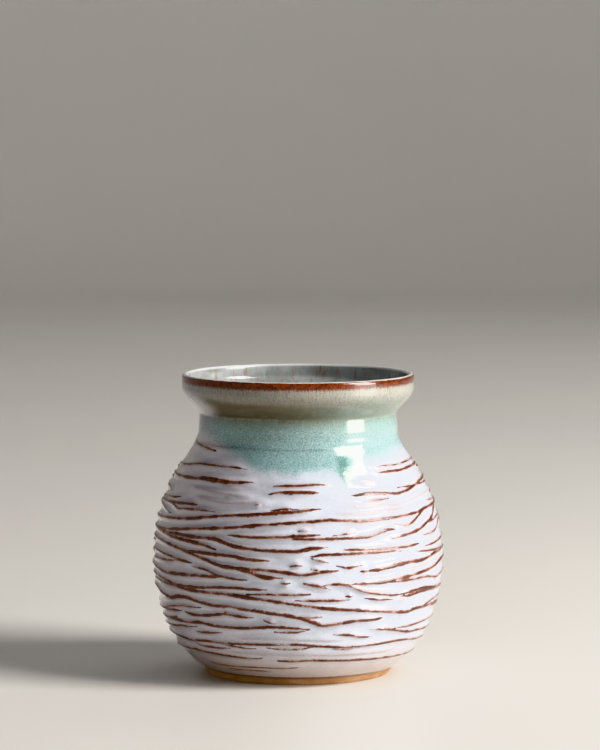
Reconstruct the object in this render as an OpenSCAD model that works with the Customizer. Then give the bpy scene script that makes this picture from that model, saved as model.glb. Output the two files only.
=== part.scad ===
// Thrown stoneware vase: round carved belly, short neck, flared collar, bare turned foot ring.
// One fired clay body carries four fused glaze coats, each a separate solid that lies on it
// face to face: white on the carved belly, celadon on the shoulder, neck and collar, an iron
// band round the lip, and a pale liner inside. Sizes are over the glaze, in millimetres, and
// the origin is the centre of the circle that the foot ring stands on.

/* [Overall] */
// Height from the table to the top of the lip
vase_h = 150; // [125:1:190]
// Diameter at the widest part of the belly, over the ridge crests
belly_d = 146.4; // [120:0.2:180]
// Height of the widest part of the belly
belly_z = 56; // [44:1:68]

/* [Foot] */
// Diameter of the bare foot ring where it stands
foot_d = 92.4; // [74:0.2:114]
// Height of bare clay between the table and the glaze
foot_bare_h = 3.4; // [2:0.1:5]
// Width of the foot ring
foot_ring_w = 6; // [4:0.5:12]
// Depth turned out inside the foot ring
foot_recess = 2; // [0:0.1:3]
// Chamfer on both edges of the foot ring
foot_chamfer = 0.5; // [0.2:0.1:1]
// How far the clay steps out from the foot ring to the glazed wall
foot_step = 2; // [1.4:0.1:3]
// Angle from upright at which the wall leaves the foot
foot_lean = 63; // [45:1:66]

/* [Neck and collar] */
// Diameter of the neck
neck_d = 100.2; // [80:0.2:110]
// Length of the nearly straight neck
neck_len = 9.5; // [6:0.5:16]
// How far the neck draws in towards its top, on the radius
neck_taper = 0.8; // [0:0.1:1.5]
// Diameter of the collar
collar_d = 116.2; // [112:0.2:130]
// Height of the upright band of the collar, lip included
collar_h = 6.5; // [5:0.5:12]
// Height of the flare between the neck and the upright band
flare_h = 13; // [8:0.5:18]
// Thickness of the lip
lip_t = 3.2; // [2.4:0.1:5]

/* [Walls] */
// Thickness of the clay wall under the hollows between the ridges
wall_t = 4; // [3:0.1:7]
// Thickness of the clay floor over the foot recess
floor_t = 6; // [4:0.5:10]
// Reach of the curve that joins the floor to the wall inside
floor_blend = 9; // [5:0.5:14]

/* [Carving] */
// Spaces for ridges between the foot and the neck; those over the border are left smooth
ridge_n = 26; // [16:1:32]
// Depth of the hollows carved between the ridges
ridge_depth = 1.2; // [0.4:0.1:2]
// Height over which the carving fades out at its top and bottom
ridge_fade = 5; // [2:0.5:12]

/* [Glaze] */
// Thickness of the white and celadon coats on a ridge or on plain wall
glaze_t = 0.8; // [0.4:0.1:1.2]
// Extra glaze that gathers in the deepest part of each hollow
pool_t = 0.3; // [0:0.05:0.4]
// Thickness of the iron coat where it runs thin on the crest of the lip
lip_glaze_t = 0.4; // [0.3:0.1:0.8]
// Thickness of the liner coat inside
liner_t = 0.5; // [0.3:0.1:1]
// Height at which the celadon coat stops and the white coat starts
border_z = 108; // [92:1:118]
// Height of the iron band, measured down from the top of the lip
band_h = 3; // [2.6:0.1:4.5]

/* [Hidden] */
$fn = 180;

foot_r = foot_d / 2;
belly_r = belly_d / 2;
neck_r = neck_d / 2;
collar_r = collar_d / 2;
lip_r = lip_t / 2;
// Full wall, from glaze to glaze, where it is not thinned for the lip
full_wall = glaze_t + ridge_depth + wall_t + liner_t;
// Heights of the straight neck's two ends and of the collar band's lower edge
collar_z = vase_h - collar_h;
neck_top_z = collar_z - flare_h;
neck_low_z = neck_top_z - neck_len;
// Top of the finished floor inside
floor_z = foot_recess + floor_t + liner_t;
// Facets between two neighbouring ridge crests
ridge_steps = 4;
curve_steps = 48;
flare_steps = 12;
lip_steps = 6;
blend_steps = 8;
// Fullness of the curves: the length of each handle as a share of the height it spans
low_start_full = 0.46;
low_end_full = 0.12;
high_start_full = 0.66;
high_end_full = 0.15;
flare_start_full = 0.3;
flare_end_full = 0.4;
// Sideways reach of the flare's first handle for each unit of its rise
flare_splay = 0.45;

function lerp(a, b, t) = a + (b - a) * t;
function clamp01(x) = min(1, max(0, x));
function last(list) = list[len(list) - 1];
function reversed(list) = [for (i = [len(list) - 1:-1:0]) list[i]];

// Points on a cubic curve from a to d, its end point left to the piece that follows
function curve(a, b, c, d, steps) =
    [for (i = [0:steps - 1])
        let (t = i / steps, s = 1 - t)
        s * s * s * a + 3 * s * s * t * b + 3 * s * t * t * c + t * t * t * d];

// Distance along a path from its start to each of its points
function travel(pts) =
    [for (i = 0, s = 0;
          i < len(pts);
          s = s + (i + 1 < len(pts) ? norm(pts[i + 1] - pts[i]) : 0), i = i + 1)
        s];

// The same path with its points spaced evenly, its end point left to the piece that follows
function evenly(pts, steps) =
    let (s = travel(pts), ids = [0:len(pts) - 1])
    let (radii = [for (i = ids) [s[i], pts[i][0]]], heights = [for (i = ids) [s[i], pts[i][1]]])
    [for (k = [0:steps - 1])
        let (at = last(s) * k / steps)
        [lookup(at, radii), lookup(at, heights)]];

// Outer outline over the ridge crests, from the foot to the foot of the lip's rounding
foot_p = [foot_r + foot_step, foot_bare_h];
belly_p = [belly_r, belly_z];
neck_p = [neck_r, neck_low_z];
throat_p = [neck_r - neck_taper, neck_top_z];
collar_p = [collar_r, collar_z];
low_rise = belly_z - foot_bare_h;
high_rise = neck_low_z - belly_z;
low_curve = curve(
    foot_p,
    foot_p + low_start_full * low_rise * [sin(foot_lean), cos(foot_lean)],
    belly_p - [0, low_end_full * low_rise],
    belly_p,
    curve_steps);
high_curve = curve(
    belly_p,
    belly_p + [0, high_start_full * high_rise],
    neck_p - high_end_full * high_rise * [-neck_taper / neck_len, 1],
    neck_p,
    curve_steps);
body_curve = evenly(concat(low_curve, high_curve, [neck_p]), ridge_n * ridge_steps);
flare_curve = curve(
    throat_p,
    throat_p + flare_start_full * flare_h * [flare_splay, 1],
    collar_p - [0, flare_end_full * flare_h],
    collar_p,
    flare_steps);
band_p = [collar_r, vase_h - band_h];
lip_p = [collar_r, vase_h - lip_r];
outer = concat(body_curve, [neck_p], flare_curve, [collar_p, band_p, lip_p]);

// Places in the outline where one coat hands over to the next
carved_n = len(body_curve);
border_i = len([for (p = outer) if (p[1] < border_z) 1]);
band_i = len(outer) - 2;

// Outward normal at each point of the outline, the last two being upright
function normal_at(pts, i) =
    let (a = pts[max(0, i - 1)], b = pts[min(len(pts) - 1, i + 1)], d = b - a)
    [d[1], -d[0]] / norm(d);
outward = [for (i = [0:len(outer) - 1]) i >= band_i ? [1, 0] : normal_at(outer, i)];

// Depth of the carving below the crests, as a share of ridge_depth
function hollow(i) =
    let (f = (i % ridge_steps) / ridge_steps, z = outer[i][1])
    i >= carved_n ? 0 : 4 * f * (1 - f)
        * clamp01((z - foot_bare_h) / ridge_fade)
        * clamp01((border_z - z) / ridge_fade);

// Thickness of the outer coat, which runs thin towards the crest of the lip
function coat_at(i) = i > band_i ? lerp(glaze_t, lip_glaze_t, 0.5) : glaze_t;

// Total wall, thinned from the top of the neck to the lip
function wall_at(i) =
    lerp(full_wall, lip_t, clamp01((outer[i][1] - neck_top_z) / (collar_z - neck_top_z)));

coat_out = [for (i = [0:len(outer) - 1])
    outer[i] - (ridge_depth - pool_t) * hollow(i) * outward[i]];
clay_out = [for (i = [0:len(outer) - 1])
    outer[i] - (coat_at(i) + ridge_depth * hollow(i)) * outward[i]];
coat_in = [for (i = [0:len(outer) - 1]) outer[i] - wall_at(i) * outward[i]];
clay_in = [for (i = [0:len(outer) - 1]) coat_in[i] + liner_t * outward[i]];

// Rounding of the lip as points at equal angles, from its outer side (a = 0) to its inner side
lip_c = [collar_r - lip_r, vase_h - lip_r];
function lip_arc(a0, a1, coat0, coat1) =
    [for (i = [1:lip_steps])
        let (t = i / lip_steps, a = lerp(a0, a1, t))
        lip_c + (lip_r - lerp(coat0, coat1, t)) * [cos(a), sin(a)]];
lip_outside = lip_arc(0, 90, 0, 0);
lip_clay_outside = lip_arc(0, 90, last([for (i = [0:len(outer) - 1]) coat_at(i)]), lip_glaze_t);
lip_inside = lip_arc(90, 180, 0, 0);
lip_clay_inside = lip_arc(90, 180, lip_glaze_t, liner_t);

// Inner faces from the lip down to the floor, which a curve joins to the wall
function wall_above_floor(pts, floor_top) =
    [for (p = pts) if (p[1] > floor_top + floor_blend / 2 && p[1] < vase_h - lip_r) p];
function floor_curve(wall, floor_top) =
    let (w = wall[0], slope = wall[1] - wall[0], run = slope[0] / slope[1])
    let (corner = [w[0] - run * (w[1] - floor_top), floor_top])
    concat(
        curve(corner - [floor_blend, 0], corner, corner, w, blend_steps));
function inside_face(pts, floor_top) =
    let (wall = wall_above_floor(pts, floor_top))
    concat(reversed(wall), reversed(floor_curve(wall, floor_top)), [[0, floor_top]]);
liner_face = inside_face(coat_in, floor_z);
clay_face = inside_face(clay_in, floor_z - liner_t);

// Solid of revolution between two open outlines that share their direction
module skin(outer_pts, inner_pts) {
    rotate_extrude()
        polygon(concat(outer_pts, reversed(inner_pts)));
}

function span(list, from, to) = [for (i = [from:to]) list[i]];

module clay_body() {
    color("#c39a76")
        rotate_extrude()
            polygon(concat(
                [[0, foot_recess],
                 [foot_r - foot_ring_w - foot_recess, foot_recess],
                 [foot_r - foot_ring_w, foot_chamfer],
                 [foot_r - foot_ring_w + foot_chamfer, 0],
                 [foot_r - foot_chamfer, 0],
                 [foot_r, foot_chamfer]],
                clay_out,
                lip_clay_outside,
                lip_clay_inside,
                clay_face));
}

module liner_glaze() {
    color("#dfe3e4")
        skin(
            concat([last(lip_outside)], lip_inside, liner_face),
            concat([last(lip_clay_outside)], lip_clay_inside, clay_face));
}

module white_glaze() {
    color("#eceaf2")
        skin(span(coat_out, 0, border_i), span(clay_out, 0, border_i));
}

module celadon_glaze() {
    color("#9cbfa9")
        skin(span(coat_out, border_i, band_i), span(clay_out, border_i, band_i));
}

module lip_glaze() {
    color("#a4552b")
        skin(
            concat(span(coat_out, band_i, len(outer) - 1), lip_outside),
            concat(span(clay_out, band_i, len(outer) - 1), lip_clay_outside));
}

clay_body();
liner_glaze();
white_glaze();
celadon_glaze();
lip_glaze();
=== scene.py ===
"""Thrown stoneware vase: carved belly, glazed shoulder and collar, iron lip and bare foot ring.

Each coat of glaze is its own piece over the clay. The clay and the coats are turned from one
outline, and the belly's hollows are then carved between listed ridge lines by Geometry Nodes.
Lengths in the classes are millimetres; meshes are metres.
"""

import logging
import math
import random
from dataclasses import dataclass, field
from enum import Enum
from functools import reduce
from typing import Any, Iterable, Sequence

import bpy
import numpy as np
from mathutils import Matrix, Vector


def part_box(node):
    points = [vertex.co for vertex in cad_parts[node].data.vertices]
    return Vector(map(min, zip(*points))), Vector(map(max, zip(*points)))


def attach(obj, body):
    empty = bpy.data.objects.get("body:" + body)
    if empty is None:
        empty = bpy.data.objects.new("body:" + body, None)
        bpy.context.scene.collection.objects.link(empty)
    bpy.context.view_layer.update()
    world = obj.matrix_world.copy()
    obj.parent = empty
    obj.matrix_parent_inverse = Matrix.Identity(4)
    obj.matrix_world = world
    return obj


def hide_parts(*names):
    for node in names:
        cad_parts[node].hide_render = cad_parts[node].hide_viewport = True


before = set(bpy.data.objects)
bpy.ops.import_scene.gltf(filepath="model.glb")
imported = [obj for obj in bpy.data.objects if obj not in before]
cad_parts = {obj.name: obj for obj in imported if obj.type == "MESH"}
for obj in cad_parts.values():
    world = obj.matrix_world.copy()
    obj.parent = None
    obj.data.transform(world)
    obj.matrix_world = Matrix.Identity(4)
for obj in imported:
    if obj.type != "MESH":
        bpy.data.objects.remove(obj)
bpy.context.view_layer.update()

MM = 0.001
log = logging.getLogger("vase")

Point = tuple[float, float]
Tint = tuple[int, int, int]
Colour = tuple[float, float, float, float]
Socket = bpy.types.NodeSocket


class Slot(Enum):
    """The record's material slots."""

    CLAY = "stoneware_clay"
    LINER = "liner_glaze"
    WHITE = "white_glaze"
    CELADON = "celadon_glaze"
    IRON = "iron_glaze"


def paint(red: int, green: int, blue: int) -> Colour:
    """Turns a display colour into the linear colour that a shader takes.

    Args:
        red: Red, 0 to 255.
        green: Green, 0 to 255.
        blue: Blue, 0 to 255.

    Returns:
        The linear colour with full alpha.
    """
    parts = [c / 255 for c in (red, green, blue)]
    return (*(c / 12.92 if c <= 0.04045 else ((c + 0.055) / 1.055) ** 2.4 for c in parts), 1.0)


# ---------------------------------------------------------------- outline


def cubic(a: Point, b: Point, c: Point, d: Point, steps: int) -> np.ndarray:
    """Samples a cubic curve.

    Args:
        a: Start.
        b: First handle.
        c: Second handle.
        d: End, which is left to the piece of outline that follows.
        steps: Number of points.

    Returns:
        An array of steps points.
    """
    t = np.linspace(0, 1, steps, endpoint=False)[:, None]
    s = 1 - t
    a, b, c, d = (np.array(p, float) for p in (a, b, c, d))
    return s**3 * a + 3 * s**2 * t * b + 3 * s * t**2 * c + t**3 * d


def run_of(path: np.ndarray) -> np.ndarray:
    """Length of a path from its start up to each of its points."""
    return np.concatenate([[0], np.cumsum(np.linalg.norm(np.diff(path, axis=0), axis=1))])


def spaced(path: np.ndarray, gap: float) -> np.ndarray:
    """Resamples a path at an even gap, both ends kept.

    Args:
        path: Points of the path.
        gap: Wanted distance between points.

    Returns:
        The new points.
    """
    run = run_of(path)
    at = np.linspace(0, run[-1], max(2, int(round(run[-1] / gap)) + 1))
    return np.stack([np.interp(at, run, path[:, k]) for k in range(path.shape[1])], axis=1)


@dataclass(frozen=True)
class Outline:
    """The vase's outline over the ridge crests, from the foot up to the lip.

    Heights and radii that the CAD boxes give are read from them, and the rest repeat the
    driving sizes of the turned part.
    """

    height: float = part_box("lip_glaze")[1].z / MM
    belly_r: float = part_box("white_glaze")[1].x / MM
    belly_z: float = 56.0
    foot_r: float = 46.2
    foot_step: float = 2.0
    foot_lean: float = 63.0
    foot_full: float = 0.46
    low_end_full: float = 0.12
    high_full: float = 0.66
    high_end_full: float = 0.15
    bare_h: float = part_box("white_glaze")[0].z / MM
    border_z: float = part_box("white_glaze")[1].z / MM
    neck_r: float = 50.1
    neck_len: float = 9.5
    neck_taper: float = 0.8
    flare_h: float = 13.0
    collar_r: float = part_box("lip_glaze")[1].x / MM
    collar_h: float = 6.5
    band_z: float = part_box("lip_glaze")[0].z / MM
    lip_r: float = 1.6
    wall: float = 6.5
    thin_wall: float = 3.2
    coat: float = 0.8
    liner: float = 0.5
    floor_z: float = 8.5
    floor_blend: float = 9.0
    recess: float = 2.0
    ring_w: float = 6.0
    chamfer: float = 0.5
    carve_room: float = 1.75

    @property
    def collar_z(self) -> float:
        """Height of the lower edge of the collar's upright band."""
        return self.height - self.collar_h

    @property
    def throat_z(self) -> float:
        """Height of the top of the neck, where the flare starts."""
        return self.collar_z - self.flare_h

    @property
    def lip_centre(self) -> Point:
        """Centre of the lip's rounding."""
        return (self.collar_r - self.lip_r, self.height - self.lip_r)

    def crest(self, gap: float) -> np.ndarray:
        """Points over the crests from the glaze's foot edge to the start of the lip's rounding.

        Args:
            gap: Distance between points.

        Returns:
            An array of radius and height.
        """
        foot = (self.foot_r + self.foot_step, self.bare_h)
        belly = (self.belly_r, self.belly_z)
        neck = (self.neck_r, self.throat_z - self.neck_len)
        throat = (self.neck_r - self.neck_taper, self.throat_z)
        collar, band = (self.collar_r, self.collar_z), (self.collar_r, self.band_z)
        low, high = belly[1] - foot[1], neck[1] - belly[1]
        lean, reach = math.radians(self.foot_lean), self.foot_full * low
        ease = self.high_end_full * high
        body = np.concatenate([
            cubic(foot, (foot[0] + reach * math.sin(lean), foot[1] + reach * math.cos(lean)),
                  (belly[0], belly[1] - self.low_end_full * low), belly, 160),
            cubic(belly, (belly[0], belly[1] + self.high_full * high),
                  (neck[0] + ease * self.neck_taper / self.neck_len, neck[1] - ease), neck, 160),
            [neck, throat]])
        flare = np.concatenate([
            cubic(throat, (throat[0] + 0.135 * self.flare_h, throat[1] + 0.3 * self.flare_h),
                  (collar[0], collar[1] - 0.4 * self.flare_h), collar, 60), [collar]])
        rest = [np.array([collar, band]), np.array([band, (self.collar_r, self.lip_centre[1])])]
        return np.concatenate([spaced(body, gap), *(spaced(p, gap)[1:] for p in (flare, *rest))])

    def outward(self, path: np.ndarray) -> np.ndarray:
        """Unit normals of a path that runs upward, pointing away from the clay.

        Args:
            path: Points of the path.

        Returns:
            One normal for each point.
        """
        along = np.gradient(path, axis=0)
        side = np.stack([along[:, 1], -along[:, 0]], axis=1)
        return side / np.linalg.norm(side, axis=1)[:, None]

    def share(self, z: np.ndarray) -> np.ndarray:
        """How deep the carving goes at each height, from 0 to 1."""
        return np.interp(z, [self.bare_h, 12, 19, 100, 109, 115, 119, 126, self.throat_z],
                         [0, 0.7, 1, 1, 0.55, 0.3, 0.16, 0.05, 0])

    def depth(self, z: np.ndarray) -> np.ndarray:
        """Distance from the crests in to the clay at each height, as a column."""
        near_lip = np.clip((z - self.band_z) / (self.lip_centre[1] - self.band_z), 0, 1)
        return (self.coat + self.carve_room * self.share(z) - 0.2 * near_lip)[:, None]

    def lip(self, start: float, end: float, in_start: float, in_end: float) -> np.ndarray:
        """Points on the lip's rounding, its start point left to the piece before.

        Args:
            start: First angle in degrees, 0 being outward.
            end: Last angle.
            in_start: How far under the finished lip the arc starts.
            in_end: How far under it the arc ends.

        Returns:
            An array of radius and height.
        """
        t = np.linspace(0, 1, 9)[1:]
        angle = np.radians(start + (end - start) * t)
        radius = self.lip_r - (in_start + (in_end - in_start) * t)
        return np.stack([self.lip_centre[0] + radius * np.cos(angle),
                         self.lip_centre[1] + radius * np.sin(angle)], axis=1)

    def inside(self, under: float, gap: float) -> np.ndarray:
        """The inner face from the lip down the wall and over the floor to the middle.

        Args:
            under: Depth under the finished liner.
            gap: Distance between points.

        Returns:
            An array of radius and height, ending on the axis.
        """
        crest = self.crest(gap)
        thin = np.clip((crest[:, 1] - self.throat_z) / self.flare_h, 0, 1)
        wall = self.wall + (self.thin_wall - self.wall) * thin - under
        face = crest - wall[:, None] * self.outward(crest)
        floor = self.floor_z - under
        keep = (face[:, 1] > floor + self.floor_blend / 2) & (crest[:, 1] < self.lip_centre[1])
        face = face[keep]
        face = face[np.concatenate([[True], np.diff(face[:, 1]) > 0])]
        start, slope = face[0], face[1] - face[0]
        corner = (start[0] - slope[0] / slope[1] * (start[1] - floor), floor)
        bend = cubic((corner[0] - self.floor_blend, floor), corner, corner, tuple(start), 12)
        centre = spaced(np.array([[0.0, floor], [corner[0] - self.floor_blend, floor]]), 3.0)
        return np.concatenate([centre[:-1], bend, face])[::-1]


# ---------------------------------------------------------------- turned meshes


@dataclass
class Turned:
    """A solid turned from one run of points, anticlockwise with the clay on its left."""

    name: str
    profile: np.ndarray
    closed: bool
    segments: int = 360
    carve: np.ndarray | None = None
    outward: np.ndarray | None = None
    sharp: Sequence[int] = ()

    def build(self) -> bpy.types.Object:
        """Makes the mesh object.

        Returns:
            The object, with its attributes carve and outward on the points.
        """
        count, turns = len(self.profile), self.segments
        poles = [] if self.closed else [i for i in (0, count - 1) if self.profile[i][0] < 1e-6]
        angle = np.arange(turns) * 2 * math.pi / turns
        ring = np.stack([np.sin(angle), -np.cos(angle)], axis=1)
        points, first = [], []
        for i, (r, z) in enumerate(self.profile):
            first.append(sum(len(p) for p in points))
            spots = ring[:1] * 0 if i in poles else ring * r
            points.append(np.column_stack([spots, np.full(len(spots), z)]))
        faces, edges = [], set()
        order = np.arange(turns)
        pairs = list(zip(order, (order + 1) % turns))
        for i in range(count if self.closed else count - 1):
            k = (i + 1) % count
            low, high = first[i], first[k]
            if i in poles:
                faces += [(low, high + b, high + a) for a, b in pairs]
            elif k in poles:
                faces += [(low + a, low + b, high) for a, b in pairs]
            else:
                faces += [(low + a, low + b, high + b, high + a) for a, b in pairs]
        mesh = bpy.data.meshes.new(self.name)
        mesh.from_pydata((np.concatenate(points) * MM).tolist(), [], faces)
        mesh.polygons.foreach_set("use_smooth", np.ones(len(mesh.polygons), bool))
        for i in self.sharp:
            edges |= {frozenset((first[i] + int(a), first[i] + int(b))) for a, b in pairs}
        if edges:
            mark = mesh.attributes.new("sharp_edge", "BOOLEAN", "EDGE")
            mark.data.foreach_set("value", [frozenset(e.vertices) in edges for e in mesh.edges])
        if self.carve is not None:
            spot = mesh.attributes.new("carve", "FLOAT", "POINT")
            sizes = [len(p) for p in points]
            spot.data.foreach_set("value", np.repeat(self.carve, sizes))
            way = mesh.attributes.new("outward", "FLOAT_VECTOR", "POINT")
            flat = [np.column_stack([ring[:k] * n[0], np.full(k, n[1])])
                    for n, k in zip(self.outward, sizes)]
            way.data.foreach_set("vector", np.concatenate(flat).ravel())
        mesh.validate()
        thing = bpy.data.objects.new(self.name, mesh)
        bpy.context.collection.objects.link(thing)
        return thing


# ---------------------------------------------------------------- ridge lines


@dataclass(frozen=True)
class Ridge:
    """One ridge left standing between two cuts of the carving tool.

    Its points are azimuth in degrees, 0 at the front and 90 on the right, and height.
    """

    brown: float
    points: tuple[Point, ...]
    rise: float = 1.0


def front_ridges() -> list[Ridge]:
    """The ridges on the front half, listed one by one.

    Returns:
        The ridges; brown is the half width of the iron line that shows on the crest, and
        a ridge with none is fully covered by the glaze.
    """
    rows: list[tuple] = [
        (.6, -61, 115.5, -50, 114.5),
        (.5, -70, 106.5, -57, 108, -44, 108, -31, 108, -26, 107.5),
        (.5, -52, 102.5, -40, 102, -30, 101.5, -21, 102),
        (.8, -72, 101, -60, 101, -48, 101.5, -40, 101, -30, 101, -24, 101.5),
        (0, -41, 99.5, -26, 99),
        (0, -35, 94.5, -27, 93.5),
        (.5, -66, 91, -62, 92),
        (.4, -80, 95, -75, 93),
        (.7, -65, 88.5, -48, 89.5),
        (.5, -65, 88, -60, 86, -55, 86.5, -45, 87, -37, 87),
        (.4, -79, 86, -73, 85, -66, 83),
        (.75, -78, 80, -64, 81, -48, 82.5, -41, 84, -31, 85.5, -17, 87, 0, 88.5, 10, 90),
        (.35, -11, 89, -4, 90, 0, 89.5),
        (.5, -18.5, 91, -16.5, 92),
        (.8, -13, 96.5, -9, 97.5, -4, 97.5, 10, 97.5),
        (.6, -11, 100.5, 0, 100.5, 8, 101, 14, 101),
        (.7, -72, 75, -64, 75.5, -45, 78, -28, 80, -15, 82, 0, 83.5, 13, 84.5, 28, 83,
         37, 83.5, 48, 84, 58, 84.5, 65, 85.5),
        (.8, -71, 73.5, -61, 72.5, -47, 71.5, -39, 70.5, -34, 69),
        (.8, -62, 74, -47, 74, -34, 74, -27, 71.5, -21, 70.5, -15, 70, 0, 69.5, 4, 71, 12, 71.5),
        (.7, -29, 76.5, -18, 76, -6, 76.5, 0, 77, 9, 77.5),
        (.6, -2, 75.5, 20, 75.5, 28, 75.5, 31, 76, 35, 77.5, 39, 78.5, 43, 78),
        (.8, -66, 69, -54, 67.5, -47, 66, -38, 63.5, -30, 61, -20, 60.5, -13, 60.5, -5, 59.5,
         2, 58, 9, 59.5, 16, 60),
        (.6, -62, 63, -50, 61.5, -46, 61),
        (.5, -60, 60.5, -54, 61.5),
        (.8, -48, 67, -34, 66.5, -26, 66.5, -21, 65.5, -15, 65, -11, 65),
        (.3, 42, 108, 56, 107.5, 69, 108),
        (.6, 41, 105, 50, 105, 59, 105, 70, 105.5),
        (0, 29, 102, 42, 101.5),
        (.7, 24, 95.5, 34, 96, 40, 95.5, 49, 94.5, 57, 95.5, 64, 97, 73, 98.5),
        (.45, 51, 97.5, 59, 97, 64, 97),
        (.3, 29, 92.5, 36, 92.5, 43, 93),
        (.5, 69, 89, 75, 88.5),
        (.5, 43, 81, 46, 79.5, 50, 79, 54, 80.5, 60, 83.5, 65, 85.5),
        (.7, 40, 73.5, 45, 74.5, 50, 75, 56, 76, 60, 77, 64, 78.5, 71, 80.5, 75, 82.5, 80, 86),
        (.45, 60, 73, 70, 73.5, 76, 75, 79, 78),
        (.4, 63, 78.5, 72, 79, 78, 80),
        (.6, 18, 70, 32, 69.5, 48, 69, 57, 69.5),
        (.65, 5, 67, 9, 68, 21, 68, 30, 68, 36, 68, 40, 68, 45, 67),
        (.5, 53, 66, 63, 65),
        (.5, 60, 67.5, 68, 68, 80, 69),
        (.9, 28, 59, 33, 59.5, 40, 60.5, 50, 61.5, 55, 61, 60, 61.5, 68, 63),
        (.35, 0, 79.5, 5, 79.5),
        (.25, 14, 77, 24, 78),
        (.8, -80, 55.5, -70, 54.5, -63, 54, -56, 54.5, -47, 55, -40, 55.5, -34, 55.5, -30, 56.5),
        (.5, -46, 59.5, -39, 59, -36, 58, -33, 56.5, -26, 55.5, -20, 55),
        (1.1, -24, 60.5, -18, 59, -14, 57, -10, 56.5, -6, 56.5),
        (.5, -7, 54, -3, 54),
        (.5, -3, 62.5, 0, 63, 2, 62.5),
        (.65, -65, 50.5, -60, 49.5, -54, 49, -40, 49.5, -33, 50.5, -25, 51, -12, 50.5),
        (.8, -59, 48.5, -45, 47.5, -30, 47.5, -21, 46.5, -12, 45.5, 0, 43.5, 10, 41.5, 24, 40,
         34, 38.5, 40, 37.5, 50, 36, 55, 37, 65, 37),
        (.5, -20, 48, -12, 48.5, 0, 48.5, 5, 48.5),
        (.6, -1, 45.5, 12, 45.5, 21, 45),
        (.85, -78, 44.5, -72, 42.5, -62, 41.5, -57, 43, -50, 43.5, -42, 42, -35, 41, -28, 41.5,
         -23, 40.5, -14, 39.5, -5, 38, 0, 37, 5, 35, 10, 32.5, 14, 33, 24, 34.5, 30, 34.5,
         37, 34.5),
        (.35, -3, 37.5, 4, 37, 10, 37),
        (.35, -74, 35, -59, 38, -53, 39, -43, 39),
        (.6, -66, 35, -61, 35.5, -56, 35.5),
        (.6, -54, 35.5, -47, 35, -41, 35.5, -35, 36.5, -30, 37.5, -24, 36.5, -18, 36),
        (.3, -14, 35, -9, 33.5),
        (.5, -31, 40.5, -30, 38, -28, 37),
        (.7, -59, 30.5, -52, 30.5, -44, 31.5, -36, 30.5, -25, 30.5, -15, 31.5, -10, 32,
         0, 31.5, 5, 30.5),
        (.5, -10, 29, 0, 29.5, 5, 30.5),
        (.5, -70, 26.5, -64, 27, -59, 28, -48, 28.5),
        (.6, -73, 30, -66, 31, -61, 32),
        (.5, -50, 26, -43, 26.5, -34, 27),
        (.6, -69, 21.5, -56, 21, -44, 22, -34, 22, -18, 22.5, 0, 23, 9, 22, 20, 21, 35, 21,
         48, 21.5, 57, 21, 64, 20),
        (.5, -53, 19, -39, 19, -32, 19),
        (.4, -36, 20.5, -29, 21, -19, 19.5),
        (.4, -14, 20.5, 0, 20.5, 4, 21, 8, 22),
        (.35, 15, 20, 28, 20),
        (.5, -66, 15.5, -55, 16, -41, 15.5, -30, 15, -17, 14.5),
        (.7, -10, 13.5, 0, 14, 5, 14.5, 14, 14, 26, 13.5, 38, 13, 55, 12.5, 66, 12, 75, 12),
        (.35, -50, 10, -34, 9.5, -21, 10, 0, 10),
        (.35, -40, 7.5, -30, 8, -11, 8),
        (.9, 2, 54, 5, 53.5, 9, 52.5, 13, 50.5),
        (.6, 10, 53, 16, 53.5, 19, 53, 22, 51.5, 25, 49.5, 30, 48, 35, 47, 39, 46, 45, 45.5),
        (.7, 45, 45.5, 51, 46.5, 58, 47, 65, 46),
        (.7, 45, 44.5, 50, 44.5, 57, 45.5, 64, 45.5, 76, 45),
        (.8, 21, 53, 30, 53, 35, 53, 38, 53.5, 44, 54, 50, 54.5, 60, 55.5, 67, 56.5, 77, 58.5),
        (.5, 38, 52.5, 47, 52.5, 61, 52.5, 71, 50.5, 80, 52),
        (.5, 15, 62.5, 18, 61.5, 20, 61, 23, 62, 26, 62),
        (.5, 25, 59, 28, 59),
        (.5, 19, 47, 22, 47),
        (.5, 27, 45.5, 33, 44.5, 38, 44, 41, 43),
        (0, 41, 43, 51, 42.5),
        (.55, 15, 27.5, 20, 27.5, 24, 27, 26, 26, 33, 25),
        (.6, 32, 29, 36, 29, 40, 28.5, 45, 27.5, 49, 26.5, 56, 25, 62, 25, 69, 24.5),
        (.45, 45, 28.5, 57, 28.5, 64, 29, 70, 29, 79, 29.5),
        (0, 43, 34.5, 50, 35),
        (.5, 61, 37.5, 66, 38.5, 71, 39.5),
        (.5, 66, 37, 70, 36.5),
        (.25, 5, 66, 12, 64),
        (.3, 5, 61, 10, 60),
        (0, -58, 97.5, -38, 96, -20, 95),
        (0, -52, 93, -32, 91.5, -12, 93),
        (0, 18, 90.5, 45, 89.5, 66, 92),
        (0, -30, 25, -5, 25.5, 22, 24.5),
        (0, -35, 17.5, 10, 17, 50, 16.5),
        (0, 14, 87, 35, 87, 56, 88),
        (0, 45, 58, 62, 59, 78, 61),
    ]
    return [Ridge(row[0], run_on(tuple(zip(row[1::2], row[2::2]))), 1.0 if row[0] else 0.75)
            for row in rows]


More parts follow.
